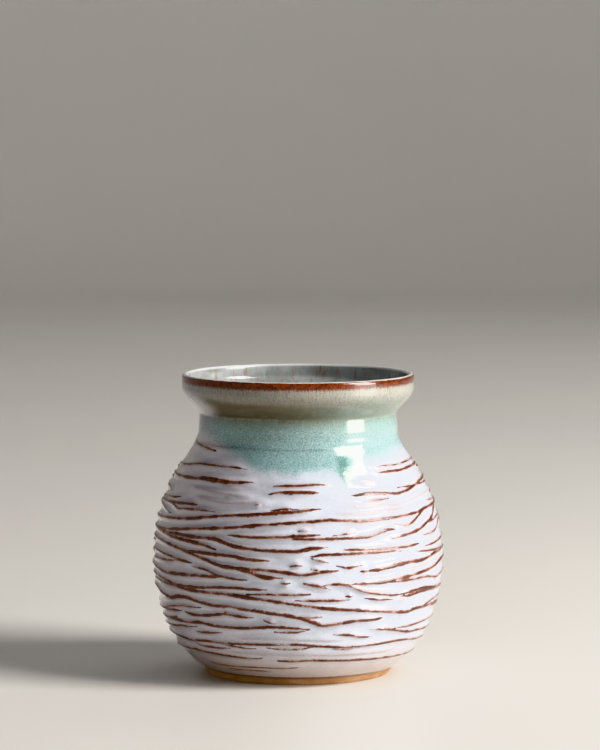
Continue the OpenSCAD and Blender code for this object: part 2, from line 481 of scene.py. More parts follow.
def run_on(points: tuple[Point, ...]) -> tuple[Point, ...]:
    """Carries a ridge that ends near the side of the belly on round the side.

    Args:
        points: Azimuth and height along the ridge, left to right.

    Returns:
        The points, with one more at each end that lies past the turn of the belly.
    """
    turn, extra, steepest = 58.0, 24.0, 0.09

    def past(end: Point, inner: Point, way: int) -> Point:
        """The point that carries an end on, a little flatter than its last run.

        Args:
            end: The ridge's end point.
            inner: The point before it.
            way: -1 to carry on to the left and 1 to the right.

        Returns:
            The new point.
        """
        slope = (end[1] - inner[1]) / (end[0] - inner[0])
        slope = max(-steepest, min(steepest, slope))
        return (end[0] + way * extra, end[1] + way * slope * extra * 0.6)

    before = (past(points[0], points[1], -1),) if points[0][0] < -turn else ()
    after = (past(points[-1], points[-2], 1),) if points[-1][0] > turn else ()
    return before + points + after


def neck_ridges() -> list[Ridge]:
    """The faint throwing rings on the shoulder and neck, which the celadon covers.

    Returns:
        The rings.
    """
    return [
        Ridge(0, ((-76, 117), (-46, 116.5), (-10, 116.6), (22, 116.4)), 0.9),
        Ridge(0, ((34, 116), (75, 117.5), (120, 117.2), (165, 116.5)), 0.7),
        Ridge(0, ((180, 117), (230, 116.5), (275, 117)), 0.7),
        Ridge(0, ((-60, 124.5), (-20, 124.8), (20, 124.4), (70, 124.8), (130, 124.5)), 0.6),
        Ridge(0, ((150, 124.6), (200, 124.2), (270, 124.7)), 0.6),
    ]


def back_ridges(rng: random.Random) -> list[Ridge]:
    """The ridges on the sides and back, laid by rule in rows of overlapping cuts.

    Args:
        rng: Source of the chance values.

    Returns:
        The ridges.
    """
    ridges = []
    z = 8.5
    while z < 107:
        azimuth = 84 + rng.uniform(0, 16)
        while azimuth < 262:
            length = rng.uniform(22, 62)
            end = min(azimuth + length, 274)
            tilt = rng.choice((-1, 1)) * rng.uniform(0.4, 5.0) * (end - azimuth) / 45
            bow, start_z = rng.uniform(-1.4, 1.4), z + rng.uniform(-1.3, 1.3)
            points = []
            for k in range(6):
                t = k / 5
                height = start_z + tilt * t + bow * 4 * t * (1 - t) + rng.uniform(-0.3, 0.3)
                points.append((azimuth + (end - azimuth) * t, height))
            chance = rng.random()
            brown = 0.0 if chance < 0.1 else rng.uniform(0.38, 0.85)
            if z < 14:
                brown = min(brown, 0.5)
            if all(7 < p[1] < 108.5 for p in points):
                ridges.append(Ridge(brown, tuple(points), 1.0 if brown else 0.75))
            azimuth = end + rng.uniform(-9, 7)
        z += rng.uniform(4.1, 5.0)
    return ridges


@dataclass
class RidgeNet:
    """All ridge lines laid on the crest outline as one mesh of edges.

    Lines that run close together go on different layers, so that each layer can be measured
    by itself and the highest one wins.
    """

    outline: Outline
    ridges: list[Ridge]
    step: float = 1.2
    degree: float = 1.2
    clear: float = 8.8
    taper: float = 7.0
    thinnest: float = 0.3
    fullness: float = 0.92
    layers: int = field(default=0, init=False)

    def trace(self, ridge: Ridge) -> np.ndarray:
        """Smooths a ridge's points and lays them on the outline.

        Args:
            ridge: The ridge.

        Returns:
            Its points in millimetres.
        """
        crest = self.outline.crest(0.5)
        rough = np.array(ridge.points, float)
        gaps = np.hypot(np.diff(rough[:, 0]) * self.degree, np.diff(rough[:, 1]))
        run = np.concatenate([[0], np.cumsum(gaps)])
        at = np.linspace(0, run[-1], max(4, int(run[-1] / self.step) + 1))
        azimuth, height = np.interp(at, run, rough[:, 0]), np.interp(at, run, rough[:, 1])
        if len(at) > 8:
            height = np.convolve(np.pad(height, 2, "edge"), np.array([1, 2, 3, 2, 1]) / 9, "valid")
        radius = np.interp(height, crest[:, 1], crest[:, 0])
        angle = np.radians(azimuth)
        return np.stack([radius * np.sin(angle), -radius * np.cos(angle), height], axis=1)

    def build(self) -> bpy.types.Object:
        """Makes the helper object.

        Returns:
            A mesh of edges with rise, half_width and layer on its points.
        """
        traces = [self.trace(r) for r in self.ridges]
        placed: list[list[np.ndarray]] = []
        points, edges, rise, width, layer = [], [], [], [], []
        for ridge, line in zip(self.ridges, traces):
            for level, others in enumerate(placed):
                if all(np.linalg.norm(line[:, None] - o[None], axis=2).min() > self.clear
                       for o in others):
                    break
            else:
                placed.append([])
                level = len(placed) - 1
            placed[level].append(line)
            run = run_of(line)
            near_end = np.minimum(run, run[-1] - run)
            ease = np.clip(near_end / min(self.taper, run[-1] / 2.2), 0, 1)
            start = len(points)
            points += line.tolist()
            edges += [(start + i, start + i + 1) for i in range(len(line) - 1)]
            rise += (ridge.rise * (0.25 + 0.75 * ease**0.7)).tolist()
            bare = self.thinnest if ridge.brown else -1.0
            wide = self.fullness * ridge.brown * (0.45 + 0.55 * ease**0.6)
            width += np.maximum(wide, bare).tolist() if ridge.brown else [0.0] * len(line)
            layer += [level] * len(line)
        self.layers = len(placed)
        mesh = bpy.data.meshes.new("ridge_lines")
        mesh.from_pydata((np.array(points) * MM).tolist(), edges, [])
        for name, kind, values in (("rise", "FLOAT", rise), ("half_width", "FLOAT", width),
                                   ("layer", "INT", layer)):
            mesh.attributes.new(name, kind, "POINT").data.foreach_set("value", values)
        thing = bpy.data.objects.new("ridge_lines", mesh)
        bpy.context.collection.objects.link(thing)
        return thing


# ---------------------------------------------------------------- node helpers

SHAPE, SHADE = "GeometryNodeTree", "ShaderNodeTree"
GEO, NUM, INT, MAT, OBJ, COL = (f"NodeSocket{n}" for n in (
    "Geometry", "Float", "Int", "Material", "Object", "Color"))


class Graph:
    """A node tree being wired, with short calls for the nodes that come up often."""

    def __init__(self, tree: bpy.types.NodeTree) -> None:
        """Starts wiring a tree."""
        self.tree = tree

    def node(self, kind: str, inputs: dict[Any, Any] | None = None, **settings: Any) -> Any:
        """Adds a node.

        Args:
            kind: Blender's name for the node type.
            inputs: Socket name or number to a value or another node's output.
            **settings: The node's own settings.

        Returns:
            The node.
        """
        made = self.tree.nodes.new(kind)
        for key, value in settings.items():
            setattr(made, key, value)
        for key, value in (inputs or {}).items():
            self.feed(made.inputs[key], value)
        return made

    def feed(self, socket: Socket, value: Any) -> None:
        """Gives an input socket a value or a link.

        Args:
            socket: The input socket.
            value: A value, or another node's output.
        """
        if isinstance(value, bpy.types.NodeSocket):
            self.tree.links.new(value, socket)
        else:
            socket.default_value = value

    def math(self, work: str, a: Any, b: Any = None, c: Any = None, clamp: bool = False) -> Socket:
        """Adds a Math node and gives its output."""
        inputs = {i: v for i, v in enumerate((a, b, c)) if v is not None}
        return self.node("ShaderNodeMath", inputs, operation=work, use_clamp=clamp).outputs[0]

    def times(self, *parts: Any) -> Socket:
        """Multiplies values together."""
        return reduce(lambda a, b: self.math("MULTIPLY", a, b), parts)

    def line(self, value: Any, by: Any, plus: Any) -> Socket:
        """Multiplies a value and adds another to it."""
        return self.math("MULTIPLY_ADD", value, by, plus)

    def step(self, value: Any, low: Any, high: Any, smooth: bool = True) -> Socket:
        """Rises from 0 at low to 1 at high.

        Args:
            value: The value that is looked at.
            low: Where the rise starts.
            high: Where it ends.
            smooth: False for a straight rise.

        Returns:
            A number from 0 to 1.
        """
        kind = "SMOOTHSTEP" if smooth else "LINEAR"
        return self.node("ShaderNodeMapRange", {0: value, 1: low, 2: high, 3: 0.0, 4: 1.0},
                         interpolation_type=kind, clamp=True).outputs[0]

    def mix(self, share: Any, a: Any, b: Any) -> Socket:
        """Mixes two colours by share."""
        return self.node("ShaderNodeMix", {0: share, 6: a, 7: b}, data_type="RGBA").outputs[2]

    def stain(self, tone: Any, over: Tint, *masks: Any) -> Socket:
        """Lays a tint over a tone, as strongly as the masks' product."""
        return self.mix(self.times(*masks), tone, paint(*over))

    def noise(self, vector: Any, scale: float, detail: float = 3.0, rough: float = 0.5) -> Socket:
        """Adds a Noise Texture and gives its value."""
        return self.node("ShaderNodeTexNoise", {"Vector": vector, "Scale": scale,
                                                "Detail": detail, "Roughness": rough}).outputs[0]

    def seeded(self, vector: Any, seed: Any, detail: float) -> Socket:
        """Adds a Noise Texture that a seed changes."""
        inputs = {"Vector": vector, "W": seed, "Scale": 1.0, "Detail": detail}
        return self.node("ShaderNodeTexNoise", inputs, noise_dimensions="4D").outputs[0]

    def stretch(self, vector: Any, x: float, y: float, z: float) -> Socket:
        """Multiplies a vector part by part."""
        return self.node("ShaderNodeVectorMath", {0: vector, 1: (x, y, z)},
                         operation="MULTIPLY").outputs[0]

    def grow(self, vector: Any, by: Any) -> Socket:
        """Multiplies a vector by a number."""
        return self.node("ShaderNodeVectorMath", {0: vector, "Scale": by},
                         operation="SCALE").outputs[0]

    def ramp(self, value: Any, stops: Iterable[tuple[float, Colour]]) -> Socket:
        """Adds a Color Ramp and gives its colour.

        Args:
            value: The value that is looked up.
            stops: Place and colour of each stop.

        Returns:
            The colour.
        """
        made = self.node("ShaderNodeValToRGB", {0: value})
        bar, listed = made.color_ramp.elements, list(stops)
        while len(bar) < len(listed):
            bar.new(0.5)
        for mark, (place, colour) in zip(bar, listed):
            mark.position, mark.color = place, colour
        return made.outputs[0]

    def bump(self, height: Any, strength: float, rise: float) -> Socket:
        """Adds a Bump node of a rise in millimetres and gives its normal."""
        return self.node("ShaderNodeBump", {"Strength": strength, "Distance": rise * MM,
                                            "Height": height}).outputs[0]


def new_group(name: str, kind: str, inputs: dict[str, str],
              outputs: dict[str, str]) -> tuple[Graph, Any, Any]:
    """Starts a node group with named sockets.

    Args:
        name: The group's name.
        kind: SHADE or SHAPE.
        inputs: Socket name to its type.
        outputs: Socket name to its type.

    Returns:
        A graph on the new group, what comes in and what goes out.
    """
    tree = bpy.data.node_groups.new(name, kind)
    for way, sockets in (("INPUT", inputs), ("OUTPUT", outputs)):
        for label, socket in sockets.items():
            tree.interface.new_socket(label, in_out=way, socket_type=socket)
    g = Graph(tree)
    return g, g.node("NodeGroupInput").outputs, g.node("NodeGroupOutput").inputs


def run_tree(thing: bpy.types.Object, tree: bpy.types.NodeTree, values: dict[str, Any]) -> None:
    """Runs a Geometry Nodes tree on an object and keeps the result as its plain mesh.

    Args:
        thing: The object.
        tree: The tree.
        values: Input name to value, set by each socket's identifier.
    """
    modifier = thing.modifiers.new(tree.name, "NODES")
    modifier.node_group = tree
    for item in tree.interface.items_tree:
        if item.item_type == "SOCKET" and item.in_out == "INPUT" and item.name in values:
            modifier[item.identifier] = values[item.name]
    bpy.context.view_layer.update()
    depsgraph = bpy.context.evaluated_depsgraph_get()
    made = bpy.data.meshes.new_from_object(thing.evaluated_get(depsgraph),
                                           preserve_all_data_layers=True, depsgraph=depsgraph)
    old, label = thing.data, thing.name
    thing.modifiers.remove(modifier)
    thing.data = made
    bpy.data.meshes.remove(old)
    made.name = label


def attribute(g: Graph, name: str, kind: str = "FLOAT") -> Socket:
    """Reads a named attribute in a Geometry Nodes tree."""
    return g.node("GeometryNodeInputNamedAttribute", {"Name": name}, data_type=kind).outputs[0]


def pushed(g: Graph, shape: Socket, depth: Any) -> Socket:
    """Moves a turned face along its outward directions."""
    move = g.grow(attribute(g, "outward", "FLOAT_VECTOR"), depth)
    return g.node("GeometryNodeSetPosition", {0: shape, "Offset": move}).outputs[0]


def end_tree(g: Graph, out: Any, shape: Socket, finish: Socket) -> bpy.types.NodeTree:
    """Ends a tree in real meshes with one material on them.

    Args:
        g: The tree's graph.
        out: The inputs of its output node.
        shape: The geometry.
        finish: The material.

    Returns:
        The tree.
    """
    real = g.node("GeometryNodeRealizeInstances", {0: shape}).outputs[0]
    g.feed(out[0], g.node("GeometryNodeSetMaterial", {0: real, "Material": finish}).outputs[0])
    return g.tree


# ---------------------------------------------------------------- shaping trees

COVERED = -4.0
CARVE_WAVES, DRIFT_WAVES = (45, 45, 120), (18, 18, 60)


def ridge_layer_tree() -> bpy.types.NodeTree:
    """The sub-tree that measures one layer of ridge lines.

    Returns:
        The tree; Lift is 1 on a crest and 0 where a cut is deepest, and Bare is above 0
        where the glaze has run off the crest.
    """
    g, into, out = new_group(
        "ridge_layer", SHAPE, {"Lines": GEO, "Layer": INT, "Reach": NUM, "Crispness": NUM},
        {"Lift": NUM, "Bare": NUM})
    same = g.node("FunctionNodeCompare", {2: attribute(g, "layer", "INT"), 3: into["Layer"]},
                  data_type="INT", operation="EQUAL").outputs[0]
    lines = g.node("GeometryNodeSeparateGeometry",
                   {0: into["Lines"], 1: same}, domain="POINT").outputs[0]
    away = g.node("GeometryNodeProximity", {0: lines}, target_element="EDGES").outputs["Distance"]
    index = g.node("GeometryNodeSampleNearest", {0: lines}, domain="POINT").outputs[0]

    def sampled(name: str) -> Socket:
        """Reads an attribute of the nearest line.

        Args:
            name: The attribute's name.

        Returns:
            Its value.
        """
        return g.node("GeometryNodeSampleIndex",
                      {0: lines, 1: attribute(g, name), "Index": index},
                      data_type="FLOAT", domain="POINT").outputs[0]

    near = g.math("SUBTRACT", 1.0, g.math("DIVIDE", away, into["Reach"]), clamp=True)
    shape = g.math("POWER", near, into["Crispness"])
    g.feed(out["Lift"], g.times(shape, sampled("rise")))
    wide = g.math("MAXIMUM", g.times(sampled("half_width"), MM), 1e-5)
    bare = g.math("SUBTRACT", 1.0, g.math("DIVIDE", away, wide))
    g.feed(out["Bare"], g.math("MAXIMUM", bare, COVERED))
    return g.tree


def carve_tree(layers: int) -> bpy.types.NodeTree:
    """The tree that carves the hollows between the ridge lines.

    Args:
        layers: Number of layers of ridge lines.

    Returns:
        The tree.
    """
    sub = ridge_layer_tree()
    g, into, out = new_group("carve_ridges", SHAPE, {
        "Geometry": GEO, "Ridge Lines": OBJ, "Depth": NUM, "Reach": NUM, "Ripple": NUM,
        "Crispness": NUM, "Seed": NUM, "Glaze": MAT}, {"Geometry": GEO})
    lines = g.node("GeometryNodeObjectInfo", {0: into["Ridge Lines"]}).outputs["Geometry"]
    found: dict[str, Any] = {"lift": 0.0, "bare": COVERED}
    for k in range(layers):
        made = g.node("GeometryNodeGroup", node_tree=sub)
        for label, value in (("Lines", lines), ("Layer", k), ("Reach", into["Reach"]),
                             ("Crispness", into["Crispness"])):
            g.feed(made.inputs[label], value)
        for name, best in found.items():
            found[name] = g.math("MAXIMUM", made.outputs[name.title()], best)
    coat = into["Geometry"]
    for name, value in found.items():
        coat = g.node("GeometryNodeStoreNamedAttribute",
                      {0: coat, "Name": name, "Value": value},
                      data_type="FLOAT", domain="POINT").outputs[0]
    place = g.node("GeometryNodeInputPosition").outputs[0]
    wave = g.seeded(g.stretch(place, *CARVE_WAVES), into["Seed"], 1.5)
    dent = g.times(g.line(wave, 2.0, -1.0), into["Ripple"])
    low = g.math("SUBTRACT", 1.0, attribute(g, "lift"))
    depth = g.times(g.math("ADD", into["Depth"], dent), low, attribute(g, "carve"), -1.0)
    return end_tree(g, out, pushed(g, coat, depth), into["Glaze"])


def throwing_tree() -> bpy.types.NodeTree:
    """The tree that presses soft finger rings into a turned face.

    Returns:
        The tree; rings repeat up the height, or out over the radius where Flat is 1.
    """
    g, into, out = new_group("throwing_rings", SHAPE, {
        "Geometry": GEO, "Pitch": NUM, "Depth": NUM, "Flat": NUM, "Wander": NUM, "Seed": NUM,
        "Finish": MAT}, {"Geometry": GEO})
    place = g.node("GeometryNodeInputPosition").outputs[0]
    x, y, z = g.node("ShaderNodeSeparateXYZ", {0: place}).outputs
    radius = g.math("SQRT", g.math("ADD", g.times(x, x), g.times(y, y)))
    along = g.node("ShaderNodeMix", {0: into["Flat"], 2: z, 3: radius},
                   data_type="FLOAT").outputs[0]
    drift = g.seeded(g.stretch(place, *DRIFT_WAVES), into["Seed"], 1.0)
    phase = g.times(g.math("DIVIDE", along, into["Pitch"]), 2 * math.pi)
    phase = g.math("ADD", g.math("ADD", phase, g.math("ARCTAN2", x, y)),
                   g.times(drift, g.times(into["Wander"], 8.0)))
    wave = g.line(g.math("SINE", phase), 0.5, 0.5)
    depth = g.times(wave, into["Depth"], attribute(g, "carve"))
    return end_tree(g, out, pushed(g, into["Geometry"], depth), into["Finish"])


def grog_tree() -> bpy.types.NodeTree:
    """The tree that sets coarse grains half into the bare clay.

    Returns:
        The tree; grains lie only where the attribute bare_clay is above a half.
    """
    g, into, out = new_group("grog_grains", SHAPE, {
        "Geometry": GEO, "Density": NUM, "Grain": NUM, "Seed": INT, "Clay": MAT},
        {"Geometry": GEO})
    where = g.math("GREATER_THAN", attribute(g, "bare_clay"), 0.5)
    spread = g.node("GeometryNodeDistributePointsOnFaces",
                    {"Mesh": into["Geometry"], "Selection": where, "Density": into["Density"],
                     "Seed": into["Seed"]}, distribute_method="RANDOM").outputs
    grain = g.node("GeometryNodeMeshIcoSphere",
                   {"Radius": into["Grain"], "Subdivisions": 1}).outputs[0]
    size = g.node("FunctionNodeRandomValue", {2: 0.35, 3: 1.2, "Seed": into["Seed"]},
                  data_type="FLOAT").outputs[1]
    flat = g.node("ShaderNodeCombineXYZ", {0: size, 1: size, 2: g.times(size, 0.6)}).outputs[0]
    grains = g.node("GeometryNodeInstanceOnPoints",
                    {"Points": spread[0], "Instance": grain, "Rotation": spread[2],
                     "Scale": flat}).outputs[0]
    joined = g.node("GeometryNodeJoinGeometry")
    g.feed(joined.inputs[0], grains)
    g.feed(joined.inputs[0], into["Geometry"])
    return end_tree(g, out, joined.outputs[0], into["Clay"])


# ---------------------------------------------------------------- glaze groups

GLAZE_IOR = 1.52
MILK, BLUE_MILK, SNOW = (217, 225, 240), (198, 204, 219), (238, 243, 252)
LEFT_SHADE_MAUVE, THIN_WHITE, IRON_DUST = (186, 172, 178), (168, 152, 152), (140, 86, 56)
FOOT_DUST_AND_SHADE, WHITE_SPECK = (176, 154, 138), (140, 110, 95)
POOL, LEFT_SHADE_VIOLET, DRIP = (88, 142, 138), (158, 156, 172), (58, 116, 104)
OLIVE, MIST, CREASE = (122, 92, 58), (182, 202, 202), (84, 96, 92)
DEEP_SPOT, PALE_SPOT = (72, 110, 106), (192, 210, 220)
DARK_RUST, RUST, IRON_CORE, COPPER = (84, 33, 12), (140, 68, 28), (44, 18, 9), (152, 80, 36)
DARK_LIP, LIP, LIP_LEFT_SHADE = (72, 28, 15), (122, 56, 27), (104, 62, 52)
FOOT_SEAM, LIP_TOP_HIGHLIGHT = (116, 68, 36), (206, 210, 212)
LINER, GREY_LINER, LINER_RIM = (160, 165, 167), (134, 137, 136), (216, 219, 220)
LINER_RUN, LINER_WISP, LINER_SPECK = (126, 92, 66), (150, 176, 172), (120, 104, 92)
CLAY, DARK_CLAY, CLAY_TOAST = (188, 151, 115), (162, 121, 84), (150, 94, 56)
CLAY_GRIT, CLAY_SAND = (112, 74, 48), (222, 194, 158)

# The celadon's colours against height, on the shaded left and on the lit right: painted shade
# and painted light. The brown under the flare on the shaded left is partly thin glaze and
# partly painted shade with a painted brown reflection.
RAMP_RANGE = (100, 150)
CELADON_SHADED = (
    (103, (136, 174, 177)), (109, (140, 174, 177)), (118, (134, 164, 165)),
    (125, (140, 166, 165)), (129.5, (126, 138, 126)), (131.5, (90, 80, 58)),
    (137, (114, 103, 82)), (140.5, (138, 133, 122)), (144, (154, 151, 144)),
    (147, (164, 161, 154)))
CELADON_LIT = (
    (103, (134, 174, 175)), (109, (156, 190, 193)), (118, (158, 187, 189)),
    (127, (146, 172, 170)), (131.5, (124, 138, 124)), (137, (134, 145, 132)),
    (141, (154, 156, 148)), (147, (168, 165, 156)))

# The celadon's lower edge as azimuth and height, and where its longest drip and the band lie.
BORDER = ((-180, 108), (-150, 112), (-122, 106), (-95, 114), (-75, 120.5), (-60, 119.5),
          (-48, 117), (-40, 114.5), (-31, 111.5), (-24, 107.5), (-16, 105.8), (-4, 105),
          (8, 105.6), (15, 106), (20, 104.5), (24, 99.8), (27.5, 104.8), (30.5, 109.2),
          (38, 110.5), (50, 111.2), (62, 112.3), (76, 113.8), (95, 110), (118, 105.5),
          (136, 109), (160, 104.5), (180, 108))
BORDER_RANGE = (96, 125)
DRIP_AZIMUTH = 23.5
BAND_FOOT = 143.3


def place_in_mm(g: Graph) -> tuple[Socket, Socket, Socket]:
    """Adds the object's coordinates in millimetres.

    Args:
        g: The shader graph.

    Returns:
        The position, the height and the azimuth in degrees, 0 at the front.
    """
    grown = g.grow(g.node("ShaderNodeTexCoord").outputs["Object"], 1 / MM)
    x, y, z = g.node("ShaderNodeSeparateXYZ", {0: grown}).outputs
    return grown, z, g.times(g.math("ARCTAN2", x, g.times(y, -1.0)), 180 / math.pi)


def sideways(g: Graph, azimuth: Socket) -> Socket:
    """How far to the right a point lies, from -1 on the left to 1 on the right."""
    return g.math("SINE", g.times(azimuth, math.pi / 180))


def curve_of(g: Graph, value: Socket, marks: Sequence[Point], low: float, high: float) -> Socket:
    """Looks a height up against azimuth on a smooth curve.

    Args:
        g: The graph.
        value: Azimuth in degrees.
        marks: Azimuth and height at each mark, from -180 to 180.
        low: Lowest height of the curve's range.
        high: Highest height of its range.

    Returns:
        The height.
    """
    made = g.node("ShaderNodeFloatCurve", {"Value": g.line(value, 1 / 360, 0.5)})
    points = made.mapping.curves[0].points
    while len(points) < len(marks):
        points.new(0.5, 0.5)
    for point, (azimuth, height) in zip(points, marks):
        point.location = (azimuth / 360 + 0.5, (height - low) / (high - low))
    made.mapping.update()
    return g.line(made.outputs[0], high - low, low)


def border_group() -> bpy.types.NodeTree:
    """Where the celadon runs down over the white, as a share of celadon.

    Returns:
        The group.
    """
    g, into, out = new_group("glaze_border", SHADE, {"Ragged": NUM},
                             {"Celadon": NUM, "Above": NUM})
    place, height, azimuth = place_in_mm(g)
    runs = g.noise(g.stretch(place, 1, 1, 0.3), 0.22, 2.0)
    fine = g.noise(place, 1.1, 4.0, 0.75)
    sway = g.math("ADD", g.line(runs, 5.0, -2.5), g.line(fine, 9.0, -4.5))
    edge = curve_of(g, azimuth, BORDER, *BORDER_RANGE)
    above = g.math("SUBTRACT", g.line(sway, into["Ragged"], height), edge)
    g.feed(out["Celadon"], g.step(above, -3.0, 4.2))
    g.feed(out["Above"], above)
    return g.tree


def white_group() -> bpy.types.NodeTree:
    """Bluish white glaze, thin and warm near the crests and at the foot.

    The left side carries a mauve painted shade, and the warm cream at the foot is partly dust
    and thin glaze and partly painted shade.

    Returns:
        The group.
    """
    g, into, out = new_group("white_glaze_colour", SHADE, {"Lift": NUM}, {"Colour": COL})
    place, height, azimuth = place_in_mm(g)
    lift = into["Lift"]
    cloud = g.noise(g.stretch(place, 1, 1, 1.6), 0.07, 3.0, 0.55)
    curd = g.noise(g.stretch(place, 1, 1, 1.8), 0.5, 3.0, 0.6)
    dust = g.noise(place, 1.9, 3.0, 0.7)
    speck = g.node("ShaderNodeTexVoronoi", {"Vector": place, "Scale": 0.28}).outputs["Distance"]
    tone = g.mix(g.step(cloud, 0.35, 0.65), paint(*MILK), paint(*BLUE_MILK))
    tone = g.stain(tone, SNOW, g.step(curd, 0.45, 0.75), 0.35)
    # Painted shade: a mauve cast laid over the left side of the white.
    tone = g.stain(tone, LEFT_SHADE_MAUVE, g.step(sideways(g, azimuth), 0.2, -0.95), 0.6)
    tone = g.stain(tone, THIN_WHITE, g.step(lift, 0.1, 0.95), g.step(curd, 0.2, 0.55), 0.7)
    tone = g.stain(tone, IRON_DUST, g.step(lift, 0.5, 0.88), g.step(dust, 0.46, 0.6), 0.72)
    # Warmer and darker towards the foot: partly dust and thin glaze, partly painted shade with a
    # warm painted bounce from below.
    tone = g.stain(tone, FOOT_DUST_AND_SHADE, g.step(height, 24, 6), 0.75)
    g.feed(out[0], g.stain(tone, WHITE_SPECK, g.step(speck, 0.085, 0.04), 0.5))
    return g.tree


def celadon_group() -> bpy.types.NodeTree:
    """Celadon glaze: deep green in its pool, pale up the neck, brown where it ran thin.

    The left side is painted shade and the right painted light, and the brown under the flare
    on the left is partly painted shade.

    Returns:
        The group.
    """
    g, into, out = new_group("celadon_colour", SHADE, {"Above": NUM, "Lift": NUM},
                             {"Colour": COL})
    place, height, azimuth = place_in_mm(g)
    side = sideways(g, azimuth)
    runs = g.noise(g.stretch(place, 1, 1, 0.16), 0.35, 4.0, 0.6)
    streak = g.noise(g.stretch(place, 1, 1, 0.07), 1.5, 3.0, 0.65)
    spots = g.noise(place, 1.6, 2.0, 0.6)
    low, high = RAMP_RANGE
    up = g.step(g.math("ADD", height, g.line(runs, 3.4, -1.7)), low, high, smooth=False)
    shaded, lit = (g.ramp(up, [((z - low) / (high - low), paint(*tint)) for z, tint in marks])
                   for marks in (CELADON_SHADED, CELADON_LIT))
    # Painted shade and painted light: the shaded copy on the left, the lit copy on the right.
    across = g.math("ADD", side, g.line(runs, 0.5, -0.25))
    tone = g.mix(g.step(across, -0.05, 0.75), shaded, lit)
    tone = g.stain(tone, POOL, g.step(into["Above"], 8.5, 0.5), g.step(height, 122, 112), 0.22)
    # Painted shade: a lavender-grey cast over the far left of the celadon.
    tone = g.stain(tone, LEFT_SHADE_VIOLET, g.step(side, -0.72, -0.95), 0.6)
    off_drip = g.math("ABSOLUTE", g.math("SUBTRACT", azimuth, DRIP_AZIMUTH))
    tone = g.stain(tone, DRIP, g.step(off_drip, 5.0, 1.0), g.step(height, 120, 110), 0.75)
    tone = g.stain(tone, OLIVE, g.step(streak, 0.5, 0.7), g.step(height, 126, 139), 0.6)
    tone = g.stain(tone, MIST, g.step(streak, 0.48, 0.3), g.step(height, 138, 124), 0.22)
    tone = g.stain(tone, DEEP_SPOT, g.step(spots, 0.52, 0.66), 0.6)
    tone = g.stain(tone, PALE_SPOT, g.step(spots, 0.45, 0.3), g.step(height, 130, 122), 0.65)
    tone = g.stain(tone, CREASE, g.step(into["Lift"], 0.55, 0.85), g.step(height, 113, 115),
                   g.step(streak, 0.3, 0.6), 0.45)
    g.feed(out[0], tone)
    return g.tree


def iron_group() -> bpy.types.NodeTree:
    """Iron that shows where glaze breaks over an edge: the crests, the lip and the foot.

    Returns:
        The group.
    """
    g, into, out = new_group("iron_break", SHADE, {"Bare": NUM},
                             {"Colour": COL, "Crest": NUM, "Band": NUM})
    place, height, azimuth = place_in_mm(g)
    bare = into["Bare"]
    grit = g.noise(g.stretch(place, 1, 1, 1.5), 1.3, 4.0, 0.65)
    patch = g.noise(place, 0.16, 2.0)
    need = g.math("ADD", g.line(grit, 3.6, -1.85), g.line(patch, 2.8, -1.4))
    over = g.math("SUBTRACT", bare, need)
    g.feed(out["Crest"], g.step(over, -0.2, 0.22))
    feather = g.noise(g.stretch(place, 1, 1, 0.6), 0.9, 4.0, 0.7)
    speckle = g.noise(place, 2.6, 2.0, 0.6)
    edge = g.math("ADD", g.line(feather, 2.6, BAND_FOOT), g.times(speckle, 2.6))
    g.feed(out["Band"], g.step(g.math("SUBTRACT", height, edge), -0.8, 1.1))
    warm = g.noise(place, 0.55, 3.0, 0.6)
    tone = g.mix(g.step(warm, 0.35, 0.68), paint(*DARK_RUST), paint(*RUST))
    tone = g.stain(tone, IRON_CORE, g.step(over, 0.25, 0.75), g.step(grit, 0.66, 0.42), 0.9)
    tone = g.stain(tone, COPPER, g.step(bare, 0.3, 0.8), g.step(patch, 0.5, 0.66), 0.7)
    lip = g.mix(g.step(warm, 0.36, 0.66), paint(*DARK_LIP), paint(*LIP))
    # Painted shade: the lip band is dulled on its left side.
    lip = g.stain(lip, LIP_LEFT_SHADE, g.step(sideways(g, azimuth), -0.7, -0.97), 0.5)
    g.feed(out["Colour"], g.mix(g.step(height, 138, 142), tone, lip))
    return g.tree


def skin_group() -> bpy.types.NodeTree:
    """Fine unevenness of a fired glaze, as a roughness and a height.

    Returns:
        The group.
    """
    g, into, out = new_group("glaze_skin", SHADE, {"Gloss": NUM, "Dry": NUM, "Grain": NUM},
                             {"Roughness": NUM, "Height": NUM})
    place, _, _ = place_in_mm(g)
    fine = g.noise(place, into["Grain"], 3.0, 0.6)
    rough = g.line(fine, 0.08, into["Gloss"])
    g.feed(out["Roughness"], g.math("MULTIPLY_ADD", into["Dry"], 0.28, rough, clamp=True))
    rise = g.line(g.noise(place, 0.35, 2.0), 0.8, g.times(fine, 0.25))
    g.feed(out["Height"], g.math("SUBTRACT", rise, g.times(into["Dry"], 0.35)))
    return g.tree


@dataclass(frozen=True)
class CoatFinish:
    """An outer coat's finish: its name, roughness and fine unevenness in millimetres."""

    name: str
    gloss: float
    bump: float
    carved: bool = True


